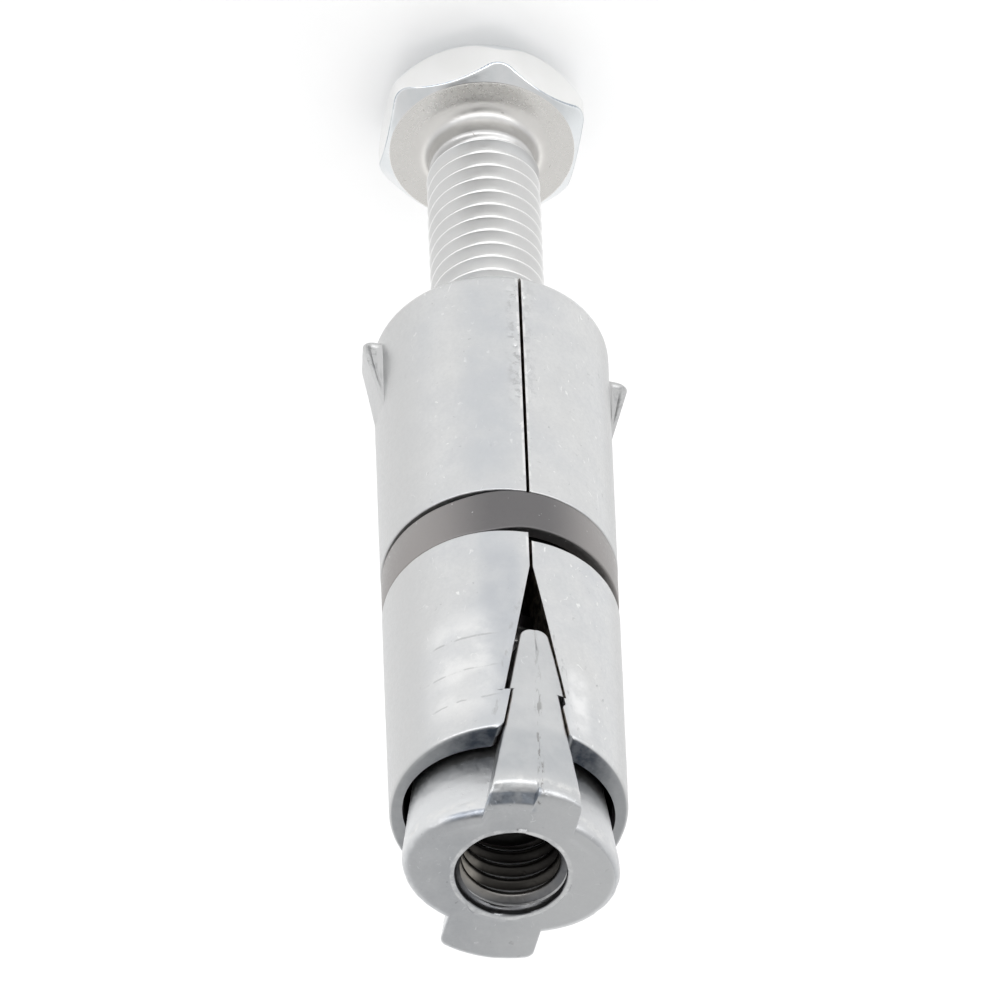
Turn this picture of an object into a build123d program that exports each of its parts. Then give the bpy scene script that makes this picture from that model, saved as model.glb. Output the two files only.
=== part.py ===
"""Expansion shield for an M6 bolt: hex bolt, two shell halves, retaining ring and cone nut.

Every piece is drawn on the shield's own axis. Z is the depth below the shell's
mouth: it is negative towards the bolt's head and positive towards the nut.
X points across the seam, the way the right half opens, and Y points along the
seam. At the end the pieces are lifted so that the shield stands on the head.
"""

import os
from math import radians, tan

from build123d import *

# Hex bolt
thread_diameter = 5.9
bolt_end_recess = 4.6
bolt_end_chamfer = 0.5
head_across_flats = 10.0
head_height = 4.0
head_corner_radius = 1.3
crown_flat_radius = 3.4
crown_reach = 5.6
crown_height = 2.25
crown_arc_radius = 4.6
bearing_radius = 4.77
bearing_chamfer = 0.83
head_to_mouth = 15.8
neck_fillet = 0.25

# Thread of the bolt, as parallel grooves from below the head to just inside the shell's mouth
thread_pitch = 1.0
thread_depth = 0.565
thread_angle = 60.0
thread_crest_width = 0.09
thread_neck_length = 2.25
thread_hidden_length = 1.2

# Shell halves
shell_diameter = 12.2
shell_length = 34.2
shell_bore_clearance = 0.45
seam_gap = 0.13
mouth_rounding = 0.8
shell_end_rounding = 0.25

# Groove and retaining ring
groove_start = 16.6
ring_width = 2.65
ring_thickness = 0.7
ring_recess = 0.05
ring_side_gap = 0.2
ring_inner_gap = 0.15
right_lip_drop = 0.6

# Fins that stop the shield from turning in its hole
fin_height = 1.0
fin_thickness = 1.8
fin_start = 1.4
fin_full_length = 0.6
fin_length = 4.4
fin_corner_radius = 0.45

# Wedge slot and the lugs that slide in it
slot_length = 12.0
wedge_slope = 0.165
slot_side_gap = 0.15
slot_tooth_to_end = 2.7
slot_tooth_length = 0.3
slot_tooth_gap = 0.12
slot_corner_radius = 0.4
lug_seated_length = 7.3
lug_end_radius = 0.35
lug_shoulder_step = 0.2
lug_shoulder_gap = 0.15
lug_inset = 0.2
lug_front_rounding = 0.7

# Cone nut
nut_length = 11.9
nut_running_gap = 0.05
nut_small_half_width = 4.15
nut_small_half_height = 3.95
nut_large_half_width = 5.6
nut_large_half_height = 4.3
nut_front_land = 1.0
nut_front_rounding = 0.5
nut_bore_chamfer = 0.1

# Seat of the nut in the shell
seat_side_gap = 0.15
seat_end_gap = 0.3
seat_length = 11.7
seat_lead_in = 4.0

# How far the head is turned from the near seam
bolt_roll = 4.0
near_seam_angle = 90.0

shell_radius = shell_diameter / 2
thread_radius = thread_diameter / 2
clear_bore_radius = thread_radius + shell_bore_clearance
slot_apex = shell_length - slot_length
slot_tooth_depth = shell_length - slot_tooth_to_end
seat_start = shell_length - seat_length
lug_start = shell_length - lug_seated_length
nut_face = lug_start + nut_length
head_under = -head_to_mouth
head_top = head_under - head_height
bolt_length = nut_face - bolt_end_recess - head_under
ring_outer_radius = shell_radius - ring_recess
ring_inner_radius = ring_outer_radius - ring_thickness
groove_radius = ring_inner_radius - ring_inner_gap
groove_end = groove_start + ring_width + 2 * ring_side_gap

upright = Plane.XY
standing = Location((0, 0, -head_top))


def slot_half_width(depth):
    """Half the width of the wedge slot, above its tooth."""
    return seam_gap / 2 + wedge_slope * (depth - slot_apex)


def lug_half_width(depth):
    """Half the width of a lug, above its shoulder."""
    return slot_half_width(depth) - slot_side_gap


def nut_half_width(depth):
    """Half the cone's width across the seam at a depth."""
    growth = (nut_large_half_width - nut_small_half_width) / (nut_length - nut_front_land)
    return nut_small_half_width + growth * (depth - lug_start)


lug_shoulder = slot_tooth_depth - lug_shoulder_gap
neck_half_width = lug_half_width(lug_shoulder) - lug_shoulder_step
tooth_half_width = neck_half_width + wedge_slope * (lug_shoulder_gap + slot_tooth_length) + slot_tooth_gap

# Hex bolt: the head is forged with a domed crown and a bevelled underside
with BuildPart() as hex_bolt:
    with BuildSketch(upright.offset(head_top)):
        hexagon = RegularPolygon(head_across_flats / 2, 6, major_radius=False, rotation=near_seam_angle + bolt_roll)
        fillet(hexagon.vertices(), head_corner_radius)
    extrude(amount=head_height)
    with BuildSketch(Plane.XZ):
        with BuildLine():
            crown_end = (crown_reach, head_top + crown_height)
            Line((0, head_top), (crown_flat_radius, head_top))
            RadiusArc((crown_flat_radius, head_top), crown_end, -crown_arc_radius)
            Polyline(
                crown_end,
                (crown_reach, head_under - bearing_chamfer),
                (bearing_radius, head_under),
                (0, head_under),
                (0, head_top),
            )
        make_face()
    revolve(axis=Axis.Z, mode=Mode.INTERSECT)
    with BuildSketch(upright.offset(head_under)):
        Circle(thread_radius)
    extrude(amount=bolt_length)
    neck_edges = hex_bolt.edges().filter_by(GeomType.CIRCLE).filter_by_position(
        Axis.Z, head_under - neck_fillet / 2, head_under + neck_fillet / 2
    )
    fillet(neck_edges.filter_by(lambda edge: abs(edge.radius - thread_radius) < neck_fillet), neck_fillet)
    chamfer(hex_bolt.edges().filter_by(GeomType.CIRCLE).sort_by(Axis.Z)[-1], bolt_end_chamfer)
    thread_start = head_under + thread_neck_length
    groove_count = int((thread_hidden_length - thread_start) / thread_pitch) + 1
    half_mouth = (thread_pitch - thread_crest_width) / 2
    half_root = half_mouth - thread_depth * tan(radians(thread_angle / 2))
    outside = thread_radius + neck_fillet
    with BuildSketch(Plane.XZ):
        for turn in range(groove_count):
            middle = thread_start + turn * thread_pitch
            with BuildLine():
                Polyline(
                    (thread_radius - thread_depth, middle - half_root),
                    (thread_radius - thread_depth, middle + half_root),
                    (thread_radius, middle + half_mouth),
                    (outside, middle + half_mouth),
                    (outside, middle - half_mouth),
                    (thread_radius, middle - half_mouth),
                    close=True,
                )
            make_face()
    revolve(axis=Axis.Z, mode=Mode.SUBTRACT)


def shell_half(side, lip):
    """One cast half: side is +1 for the right and -1 for the left, lip is where the groove ends."""
    with BuildPart() as half:
        with BuildSketch(Plane.XZ):
            with BuildLine():
                Polyline(
                    (0, 0),
                    (shell_radius, 0),
                    (shell_radius, groove_start),
                    (groove_radius, groove_start),
                    (groove_radius, lip),
                    (shell_radius, lip),
                    (shell_radius, shell_length),
                    (0, shell_length),
                    close=True,
                )
            make_face()
        revolve(axis=Axis.Z)
        rim_edges = half.edges().filter_by(GeomType.CIRCLE).group_by(Axis.Z)
        fillet(rim_edges[0], mouth_rounding)
        fillet(rim_edges[-1], shell_end_rounding)
        with BuildSketch(Plane.XZ):
            with BuildLine():
                Polyline(
                    (side * groove_radius, fin_start),
                    (side * (shell_radius + fin_height), fin_start),
                    (side * (shell_radius + fin_height), fin_start + fin_full_length),
                    (side * (shell_radius - ring_recess), fin_start + fin_length),
                    (side * groove_radius, fin_start + fin_length),
                    close=True,
                )
            fin_profile = make_face()
            outer_corners = fin_profile.vertices().group_by(Axis.X)[-1 if side > 0 else 0]
            fillet(outer_corners.sort_by(Axis.Y)[0], fin_corner_radius)
        extrude(amount=fin_thickness / 2, both=True)
        with BuildSketch(upright):
            Circle(clear_bore_radius)
        extrude(amount=seat_start - seat_lead_in, mode=Mode.SUBTRACT)
        with BuildSketch(upright.offset(seat_start - seat_lead_in)):
            Circle(clear_bore_radius)
        with BuildSketch(upright.offset(seat_start)):
            Ellipse(nut_half_width(seat_start) + seat_side_gap, nut_small_half_height + seat_end_gap)
        loft(ruled=True, mode=Mode.SUBTRACT)
        with BuildSketch(upright.offset(seat_start)):
            Ellipse(nut_half_width(seat_start) + seat_side_gap, nut_small_half_height + seat_end_gap)
        with BuildSketch(upright.offset(shell_length)):
            Ellipse(nut_half_width(shell_length) + seat_side_gap, nut_large_half_height + seat_end_gap)
        loft(ruled=True, mode=Mode.SUBTRACT)
        split(bisect_by=Plane.YZ.offset(side * seam_gap / 2), keep=Keep.TOP if side > 0 else Keep.BOTTOM)
        with BuildSketch(Plane.XZ):
            with BuildLine():
                below_tooth = slot_tooth_depth + slot_tooth_length
                end_half_width = tooth_half_width + wedge_slope * (shell_length - below_tooth)
                Polyline(
                    (0, slot_apex),
                    (side * seam_gap / 2, slot_apex),
                    (side * slot_half_width(slot_tooth_depth), slot_tooth_depth),
                    (side * tooth_half_width, slot_tooth_depth),
                    (side * tooth_half_width, below_tooth),
                    (side * end_half_width, shell_length),
                    (side * (end_half_width + 2 * slot_corner_radius), shell_length),
                    (side * (end_half_width + 2 * slot_corner_radius), shell_length + slot_corner_radius),
                    (0, shell_length + slot_corner_radius),
                    close=True,
                )
            slot_profile = make_face()
            end_corners = slot_profile.vertices().group_by(Axis.Y)[-2]
            fillet(end_corners.sort_by_distance((0, shell_length))[0], slot_corner_radius)
        extrude(amount=shell_radius + fin_height, both=True, mode=Mode.SUBTRACT)
    return half


right_half = shell_half(1, groove_end + right_lip_drop)
left_half = shell_half(-1, groove_end)

# Retaining ring: a plain flat band lying in the groove of both halves
with BuildPart() as retaining_ring:
    with BuildSketch(upright.offset(groove_start + ring_side_gap)):
        Circle(ring_outer_radius)
        Circle(ring_inner_radius, mode=Mode.SUBTRACT)
    extrude(amount=ring_width)

# The pair of wedge lugs, one along each seam, with rounded tops and a shoulder at mid-length
with BuildPart() as lugs:
    with BuildSketch(Plane.XZ):
        with BuildLine():
            front_half_width = neck_half_width + wedge_slope * (nut_face - lug_shoulder)
            Polyline(
                (-lug_half_width(lug_start), lug_start),
                (lug_half_width(lug_start), lug_start),
                (lug_half_width(lug_shoulder), lug_shoulder),
                (neck_half_width, lug_shoulder),
                (front_half_width, nut_face),
                (-front_half_width, nut_face),
                (-neck_half_width, lug_shoulder),
                (-lug_half_width(lug_shoulder), lug_shoulder),
                close=True,
            )
        lug_profile = make_face()
        fillet(lug_profile.vertices().group_by(Axis.Y)[0], lug_end_radius)
    extrude(amount=shell_radius, both=True)
    with BuildSketch(upright.offset(lug_start)):
        Circle(shell_radius - lug_inset)
    extrude(amount=nut_length, mode=Mode.INTERSECT)
    fillet(lugs.edges().filter_by(GeomType.CIRCLE).group_by(Axis.Z)[-1], lug_front_rounding)

# Cone nut: an oval cone between the two halves, cast in one with its lugs
with BuildPart() as cone_nut:
    cone_end = nut_face - nut_front_land
    with BuildSketch(upright.offset(lug_start)):
        Ellipse(nut_small_half_width, nut_small_half_height)
    with BuildSketch(upright.offset(cone_end)):
        Ellipse(nut_large_half_width, nut_large_half_height)
    loft(ruled=True)
    with BuildSketch(upright.offset(cone_end)):
        Ellipse(nut_large_half_width, nut_large_half_height)
    extrude(amount=nut_front_land)
    fillet(cone_nut.faces().sort_by(Axis.Z)[-1].edges(), nut_front_rounding)
    add(lugs.part)
    with BuildSketch(upright.offset(lug_start)):
        Circle(thread_radius + nut_running_gap)
    extrude(amount=nut_length, mode=Mode.SUBTRACT)
    bore_edges = cone_nut.edges().filter_by(GeomType.CIRCLE).group_by(Axis.Z)[-1]
    chamfer(bore_edges.sort_by(SortBy.RADIUS)[0], nut_bore_chamfer)

finished = {
    "hex_bolt": hex_bolt,
    "shell_left": left_half,
    "shell_right": right_half,
    "retaining_ring": retaining_ring,
    "cone_nut": cone_nut,
}

os.makedirs("parts", exist_ok=True)
for name, piece in finished.items():
    piece.part = piece.part.moved(standing)
    piece.part.label = name
    export_step(piece.part, f"parts/{name}.step")
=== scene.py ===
import math

import bmesh
import bpy
import numpy as np
from mathutils import Matrix, Vector, noise


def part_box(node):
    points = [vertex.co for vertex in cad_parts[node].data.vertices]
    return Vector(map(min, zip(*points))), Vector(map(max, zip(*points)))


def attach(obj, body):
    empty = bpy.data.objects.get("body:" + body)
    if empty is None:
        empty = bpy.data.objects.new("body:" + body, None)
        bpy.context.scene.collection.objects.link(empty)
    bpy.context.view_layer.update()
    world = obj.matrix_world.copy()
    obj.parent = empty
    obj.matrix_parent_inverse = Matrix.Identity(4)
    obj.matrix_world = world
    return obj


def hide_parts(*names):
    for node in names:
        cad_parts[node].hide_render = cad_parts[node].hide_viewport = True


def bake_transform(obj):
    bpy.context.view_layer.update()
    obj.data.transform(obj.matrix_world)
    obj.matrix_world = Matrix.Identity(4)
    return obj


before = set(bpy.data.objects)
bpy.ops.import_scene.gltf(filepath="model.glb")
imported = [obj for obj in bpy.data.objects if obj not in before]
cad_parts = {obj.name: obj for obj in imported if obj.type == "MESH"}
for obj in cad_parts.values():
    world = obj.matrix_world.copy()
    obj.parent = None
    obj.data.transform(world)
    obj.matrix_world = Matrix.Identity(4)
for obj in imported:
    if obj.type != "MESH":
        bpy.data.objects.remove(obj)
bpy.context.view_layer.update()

# Metres in a millimetre, and how near two points are that count as one, in metres
MM = 0.001
MERGE = 5e-7

# Depths run from the shell's mouth towards the nut, in millimetres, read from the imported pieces
bolt_low, bolt_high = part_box("hex_bolt")
shell_low, shell_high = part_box("shell_right")
ring_low, ring_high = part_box("retaining_ring")
nut_low, nut_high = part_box("cone_nut")
MOUTH = shell_low.z / MM
HEAD_TOP = bolt_low.z / MM - MOUTH
BOLT_END = bolt_high.z / MM - MOUTH
SHELL_END = shell_high.z / MM - MOUTH
LUG_START = nut_low.z / MM - MOUTH
NUT_FACE = nut_high.z / MM - MOUTH
RING_START = ring_low.z / MM - MOUTH
RING_END = ring_high.z / MM - MOUTH
RING_RADIUS = ring_high.x / MM

# Bolt
PITCH = 1.0
THREAD_ROOT = 2.385
THREAD_CREST = 2.945
THREAD_TURN = 0.691
THREAD_COLUMNS = 96
BOLT_TIP = 2.3
HEAD_UNDER = -15.8
HEAD_APOTHEM = 5.0
HEAD_CORNER = 1.3
HEAD_TURN = math.radians(94.0)
HEAD_EDGE = 0.08
CROWN_FLAT = 3.4
CROWN_REACH = 5.6
CROWN_HEIGHT = 2.25
CROWN_ARC = 4.6
BEARING_RADIUS = 4.77
NECK_RADIUS = 2.76
NECK_FILLET = 0.85
NECK_END = HEAD_UNDER + 1.3
THREAD_FULL = HEAD_UNDER + 2.1

# One turn of the thread, as shares of the pitch and of the thread's height
PROFILE = (
    (0.0, 0.0), (0.08, 0.01), (0.13, 0.06), (0.19, 0.19), (0.30, 0.47), (0.40, 0.78),
    (0.45, 0.93), (0.48, 0.99), (0.52, 0.99), (0.55, 0.93), (0.60, 0.78), (0.70, 0.47),
    (0.81, 0.19), (0.87, 0.06), (0.92, 0.01),
)

# Rows that round an edge off: how much of its radius each lies below the edge
EDGE_MIDDLE = 0.29
EDGE_ROWS = (0.08, EDGE_MIDDLE, 0.62)

# Shell: values that differ between the halves have the left one at -1 and the right one at 1
SHELL_RADIUS = 6.1
SHELL_BORE = 3.4
SEAM_HALF = 0.065
SLOT_APEX = 22.2
SLOT_SLOPE = 0.165
TOOTH_DEPTH = {-1: 31.48, 1: 31.45}
TOOTH_GAP = {-1: 0.06, 1: 0.03}
NOTCH_WIDTH = {-1: 0.0, 1: 0.2}
NOTCH_END = 32.2
TOOTH_REACH = 0.31
SLOT_CORNER = 0.4
SLOT_EDGE = 0.07
MOUTH_ROUNDING = 0.8
END_ROUNDING = 0.25
GROOVE_START = 16.6
GROOVE_RADIUS = 5.2
GROOVE_LIP = {-1: 19.65, 1: 20.25}
LIP_ROUNDING = 0.09
SEAT_ENTRY = 18.5
SEAT_START = 22.5
SEAT_NEAR = (3.715, 4.25)
SEAT_FAR = (5.45, 4.6)
FIN_TOP = 7.1
FIN_HALF = 0.9
FIN_START = 1.4
FIN_FULL = 1.7
FIN_END = 5.8
FIN_CORNER = 0.55
FIN_EDGE = 0.12
FIN_HOLLOW = 0.12
FIN_SLANT = 0.4
FIN_FOOT = (0.95, 1.02, 1.12)
FIN_CLEAR = 1.25
SKIN_DEPTH = 0.03
STEP_LINES = (27.3, 29.6, 31.8)
STEP_GROOVE = 0.03
STEP_RISE = 0.02
PIT_WIDTH = {-1: 0.95, 1: 0.4}
PIT_DEPTH = 0.22
EDGE_MARK_DEPTH = 0.2

# Ring
RING_THICKNESS = 0.7
RING_EDGE = 0.1
RING_LIFT = 0.18
RING_UPPER_DROP = 0.30
RING_LOWER_DROP = 0.36

# Cone nut
NUT_SMALL = (4.15, 3.95)
NUT_LARGE = (5.6, 4.3)
NUT_LAND = 1.0
NUT_EDGE = 0.65
LUG_REACH = ((LUG_START, 6.04), (31.0, 6.04), (36.5, 5.92), (NUT_FACE, 5.92))
FAR_REACH = ((LUG_START, 6.0), (NUT_FACE, 6.05))
LUG_GAP = {-1: 0.2, 1: 0.03}
LUG_RELIEF = {-1: 0.0, 1: 0.032}
LUG_RELIEF_END = 28.6
LUG_SHOULDER = 31.35
LUG_NECK = {-1: 1.205, 1: 1.225}
LUG_END_RADIUS = 0.4
LUG_FRONT = {-1: 1.1, 1: 0.6}
LUG_BEVEL = 0.45
LUG_BEVEL_SLOPE = 1.35
LUG_BEVEL_EDGE = 0.08
FAR_FRONT = 0.4
LUG_EDGE = 0.14
FAR_EDGE = 0.32
FLANK_EDGE = 0.12
SCAR_WIDTH = 0.07
SCAR_DEPTH = 0.09
FRONT_MARK_DEPTH = 0.14
NUT_MINOR = 2.5
NUT_MAJOR = 3.01
NUT_LEAD = 2.84
NUT_RIM = 2.92
RIM_DROP = 0.05

# Rows of the nut's face, from its edge to the hole: share of the way and drop below the face.
# Where the burr stands, its own height counts in place of the drop.
FACE_DROP = 0.09
FACE_ROWS = (
    (0.0, 0.0), (0.06, 0.012), (0.14, 0.035), (0.24, 0.06), (0.36, 0.08), (0.5, FACE_DROP),
    (0.68, FACE_DROP), (0.8, FACE_DROP), (0.87, FACE_DROP), (0.91, None), (0.95, None),
    (1.0, RIM_DROP),
)

# The photo's view of the shield: how its axis, its seam and the camera stand to each other
SEAM_TURN = math.radians(14.0)
VIEW_TURN = math.radians(1.59)
VIEW_SLOPE = math.radians(42.78)
VIEW_AIM = (0.22, 10.13, -0.68)
VIEW_DISTANCE = 1.5
LENS = 1053.5

# Light: strengths of the room above, of its pale walls and of its darker patch
ROOM_LIGHT = 0.76
WALL_LIGHT = 1.1
WALL_TOP = (0.12, 0.42)
SHADE_LIGHT = 0.18
SHADE_DIRECTION = (-0.28, 0.5, 0.82)
SHADE_SHAPE = (0.36, 1.0, 1.0)
SHADE_REACH = (0.10, 0.34)

# Panels: direction, distance, width, height, power and whether metal mirrors them
PANELS = {
    "key_panel": ((-0.15, 0.9, 0.35), 1.0, 3.0, 0.32, 5.6, True),
    "floor_light": ((0.3, -0.4, 1.0), 1.6, 2.8, 2.8, 17.0, False),
}

# Floor
FLOOR_HALF = 1.2
FLOOR_COLOUR = (0.98, 0.98, 0.98, 1)
FLOOR_ROUGHNESS = 0.95

# Where marks and painted shade lie, from, to and how softly they end: across the seam or down the
# shell
COOL_SHADE_ACROSS = (-3.6, 0.1, 1.3)
BLUE_SHADE_ACROSS = (-2.9, -0.2, 0.9)
BLUE_SHADE_DOWN = (20.3, 33.0, 1.8)
PITTED_DOWN = (0.3, 11.0, 1.0)
PALE_LEFT_ACROSS = (-5.4, -1.5, 1.3)
PALE_LEFT_DOWN = (24.6, 33.8, 2.4)
PALE_RIGHT_ACROSS = (1.5, 3.2, 0.7)
PALE_RIGHT_DOWN = (28.5, 34.1, 1.6)
LINES_ACROSS = (-5.3, -1.6, 0.8)
FLANK_DOWN = (1.5, 4.4, 0.3)
LOW_LUG_DOWN = (33.6, NUT_FACE - 0.9, 1.2)
FLECK_HIGHLIGHT_DOWN = (NUT_FACE - 1.3, NUT_FACE - 0.4, 0.4)
SHADED_ACROSS = (-4.4, -1.7, 0.9)
SHADED_DOWN = (NUT_FACE - 0.5, NUT_FACE - 0.08, 0.12)
BEVEL_SHADE_DOWN = (NUT_FACE - 0.5, NUT_FACE - 0.02, 0.1)
SCAR_ACROSS = (-0.10, 0.34, 0.14)

# Where the near lug's skin begins along the seam, and the radius that only lugs pass
NEAR_LUG = (4.9, 5.2)
OFF_LUGS = (5.62, 5.72)

# Colours
SHELL_TINTS = {
    "light": (0.645, 0.648, 0.645),
    "dark": (0.590, 0.602, 0.618),
    # The next four tints are painted shade on the barrel.
    "cool_shade": (0.545, 0.563, 0.585),
    "side": (0.555, 0.558, 0.558),
    "right side shade": (0.495, 0.498, 0.498),
    "blue_shade": (0.50, 0.518, 0.545),
    "pitted": (0.44, 0.445, 0.45),
    "flash": (0.82, 0.82, 0.815),
    # The next two tints are paler patches of skin beside the slot.
    "pale_left": (0.80, 0.802, 0.80),
    "pale_right": (0.82, 0.822, 0.825),
    "line": (0.36, 0.365, 0.37),
    "flank": (0.38, 0.385, 0.39),
    # The next three tints are painted shade on the end face and in the hollow.
    "face shade by the slot": (0.048, 0.060, 0.080),
    "face": (0.38, 0.39, 0.40),
    "inside": (0.105, 0.10, 0.098),
    "torn": (0.42, 0.425, 0.43),
    "dark wall": (0.10, 0.09, 0.08),
    "light wall": (0.34, 0.30, 0.26),
}
NUT_TINTS = {
    "light": (0.525, 0.533, 0.542),
    "dark": (0.455, 0.468, 0.485),
    # The next three tints are painted light and shade on the nut's sides.
    "side": (0.585, 0.593, 0.598),
    "lit left body": (0.665, 0.675, 0.685),
    "shaded right body": (0.585, 0.592, 0.602),
    "low lug": (0.46, 0.475, 0.49),
    # Pale spots with a painted highlight behind the nut's front edge.
    "fleck_and_highlight": (0.74, 0.738, 0.73),
    "right face": (0.63, 0.637, 0.64),
    # The next two tints are painted shade along the front edge and its bevel.
    "shaded edge": (0.32, 0.35, 0.40),
    "bevel": (0.30, 0.33, 0.375),
    "scar": (0.25, 0.245, 0.24),
    "burr": (0.80, 0.805, 0.805),
    # The bore's tints below are painted shade, darkest deep in.
    "dark thread": (0.34, 0.32, 0.29),
    "light thread": (0.48, 0.45, 0.40),
    "shaded deep thread": (0.036, 0.034, 0.032),
    "dark lead": (0.12, 0.13, 0.15),
    "light lead": (0.24, 0.235, 0.23),
}
BOLT_TINTS = {
    "dark flat": (0.865, 0.865, 0.855),
    "light flat": (0.89, 0.89, 0.885),
    "dark crown": (0.72, 0.745, 0.76),
    "light crown": (0.79, 0.80, 0.81),
    # Painted shade: a dark line where the flats meet the crown.
    "edge": (0.30, 0.345, 0.40),
    "dark underside": (0.78, 0.765, 0.735),
    "light underside": (0.86, 0.845, 0.82),
    # The neck's tints are darker as painted shade.
    "dark neck": (0.50, 0.497, 0.493),
    "light neck": (0.64, 0.637, 0.632),
    "dark thread": (0.79, 0.79, 0.785),
    "light thread": (0.87, 0.87, 0.865),
    "mark": (0.35, 0.33, 0.31),
    # Painted shade on the thread inside the shell.
    "shade inside shell": (0.44, 0.44, 0.445),
}
BAND_TINTS = {
    "dark": (0.140, 0.137, 0.140),
    "light": (0.182, 0.176, 0.178),
    # Painted reflection: the band's sides lighter, as sheen at a grazing view.
    "dark side sheen": (0.285, 0.27, 0.265),
    "light side sheen": (0.342, 0.328, 0.322),
    "speck": (0.6, 0.6, 0.6),
}


def place(across, seam, depth):
    """Points in metres from millimetres across the seam, along the seam and below the mouth."""
    across, seam, depth = np.broadcast_arrays(across, seam, depth)
    return np.stack([across, seam, depth + MOUTH], axis=-1) * MM


def around(reach, angles, depth):
    """Points in metres at some reach from the axis."""
    return place(reach * np.cos(angles), reach * np.sin(angles), depth)


def smooth(value, low, high):
    """0 below low, 1 above high and an even turn between them."""
    t = np.clip((np.asarray(value, dtype=float) - low) / (high - low), 0, 1)
    return t * t * (3 - 2 * t)


def rough(points, scale, seed):
    """Gentle random values, one for each point given in millimetres."""
    shift = Vector((seed * 17.3, seed * 5.1, seed * 9.7))
    return np.array([noise.noise(Vector(p) * scale + shift) for p in points])


def drawn_in(points, inward):
    """Points moved towards the axis by so many millimetres."""
    scale = (1 - inward / np.hypot(points[:, 0], points[:, 1]))[:, None]
    return np.concatenate([points[:, :2] * scale, points[:, 2:]], axis=1)


def grid_faces(index):
    """Quads over a grid of point numbers."""
    a = index[:-1, :-1].ravel()
    b = index[:-1, 1:].ravel()
    c = index[1:, 1:].ravel()
    d = index[1:, :-1].ravel()
    return np.stack([a, b, c, d], axis=-1).tolist()


def closed(index):
    """The same grid with its first column again at the end."""
    return np.concatenate([index, index[:, :1]], axis=1)


class Shape:
    """Collects the grids of one piece."""

    def __init__(self):
        self.points = []
        self.faces = []
        self.count = 0

    def add(self, points):
        """Adds points of any grid shape and returns their numbers in that shape."""
        points = np.asarray(points, dtype=float)
        index = np.arange(points[..., 0].size).reshape(points.shape[:-1]) + self.count
        self.points.append(points.reshape(-1, 3))
        self.count += index.size
        return index

    def wrap(self, points):
        """Adds points as a grid that closes on itself, and returns their numbers."""
        index = self.add(points)
        self.faces += grid_faces(closed(index))
        return index

    def build(self, name, material, sharp=38.0):
        """Makes the object, with doubled points merged and every face looking outwards."""
        mesh = bpy.data.meshes.new(name)
        mesh.from_pydata(np.concatenate(self.points).tolist(), [], self.faces)
        work = bmesh.new()
        work.from_mesh(mesh)
        bmesh.ops.remove_doubles(work, verts=work.verts, dist=MERGE)
        bmesh.ops.recalc_face_normals(work, faces=work.faces)
        work.to_mesh(mesh)
        work.free()
        mesh.shade_smooth()
        mesh.set_sharp_from_angle(angle=math.radians(sharp))
        piece = bpy.data.objects.new(name, mesh)
        bpy.context.scene.collection.objects.link(piece)
        mesh.materials.append(material)
        return piece


def thread_level(depth, angle):
    """0 in the root and 1 on the crest of the bolt's thread."""
    fraction = (depth / PITCH - THREAD_TURN - angle / math.tau) % 1.0
    offsets = [offset for offset, level in PROFILE] + [1.0]
    levels = [level for offset, level in PROFILE] + [PROFILE[0][1]]
    return np.interp(fraction, offsets, levels)


def thread_grid(angles, start, end):
    """Depths of a grid whose rows run along the helix, cut off at both ends."""
    lead = angles / math.tau * PITCH
    first = math.floor(start - THREAD_TURN - lead.max()) - 1
    last = math.ceil(end - THREAD_TURN - lead.min()) + 1
    bases = np.array([
        turn * PITCH + THREAD_TURN + offset * PITCH
        for turn in range(first, last + 1)
        for offset, level in PROFILE
    ])
    return np.clip(bases[:, None] + lead[None, :], start, end)


def helix_faces(index):
    """Quads over a helix grid: the last column joins the first one turn further on."""
    rows = index.shape[0]
    shifted = np.minimum(np.arange(rows) + len(PROFILE), rows - 1)
    return grid_faces(np.concatenate([index, index[shifted, :1]], axis=1))


def round_off(distance, radius):
    """How far an edge rounding draws the surface in, at a distance from the edge."""
    inside = np.clip(radius - distance, 0, radius)
    return radius - np.sqrt(radius * radius - inside * inside)


def soft_min(first, second, width):
    """The smaller of two radii, with a soft turn from one to the other."""
    near = np.clip(width - np.abs(first - second), 0, None) / width
    return np.minimum(first, second) - near * near * width / 4


# Bolt


def hexagon_reach(angles):
    """How far the hexagon with its rounded corners reaches at each angle."""
    sixth = math.pi / 3
    centre = (HEAD_APOTHEM - HEAD_CORNER) / math.cos(sixth / 2)
    turn = np.abs((angles - HEAD_TURN + sixth / 2) % sixth - sixth / 2)
    corner_out = centre + HEAD_CORNER * math.cos(sixth / 2)
    tangent = math.atan2(HEAD_CORNER * math.sin(sixth / 2), corner_out)
    near = np.minimum(turn, tangent)
    corner = centre * np.cos(near) + np.sqrt(HEAD_CORNER ** 2 - (centre * np.sin(near)) ** 2)
    return np.where(turn < tangent, corner, HEAD_APOTHEM / np.cos(sixth / 2 - turn))


def head_envelope(height):
    """Radius of the domed crown and of the bevelled underside, above the head's end."""
    half_chord = math.hypot(CROWN_REACH - CROWN_FLAT, CROWN_HEIGHT) / 2
    inset = math.sqrt(CROWN_ARC ** 2 - half_chord ** 2) / (2 * half_chord)
    centre_radius = (CROWN_REACH + CROWN_FLAT) / 2 - inset * CROWN_HEIGHT
    centre_height = CROWN_HEIGHT / 2 + inset * (CROWN_REACH - CROWN_FLAT)
    drop = centre_height - np.minimum(height, CROWN_HEIGHT)
    crown = centre_radius + np.sqrt(CROWN_ARC ** 2 - drop ** 2)
    bevel = BEARING_RADIUS + (HEAD_UNDER - HEAD_TOP - height)
    return np.minimum(crown, bevel)


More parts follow.
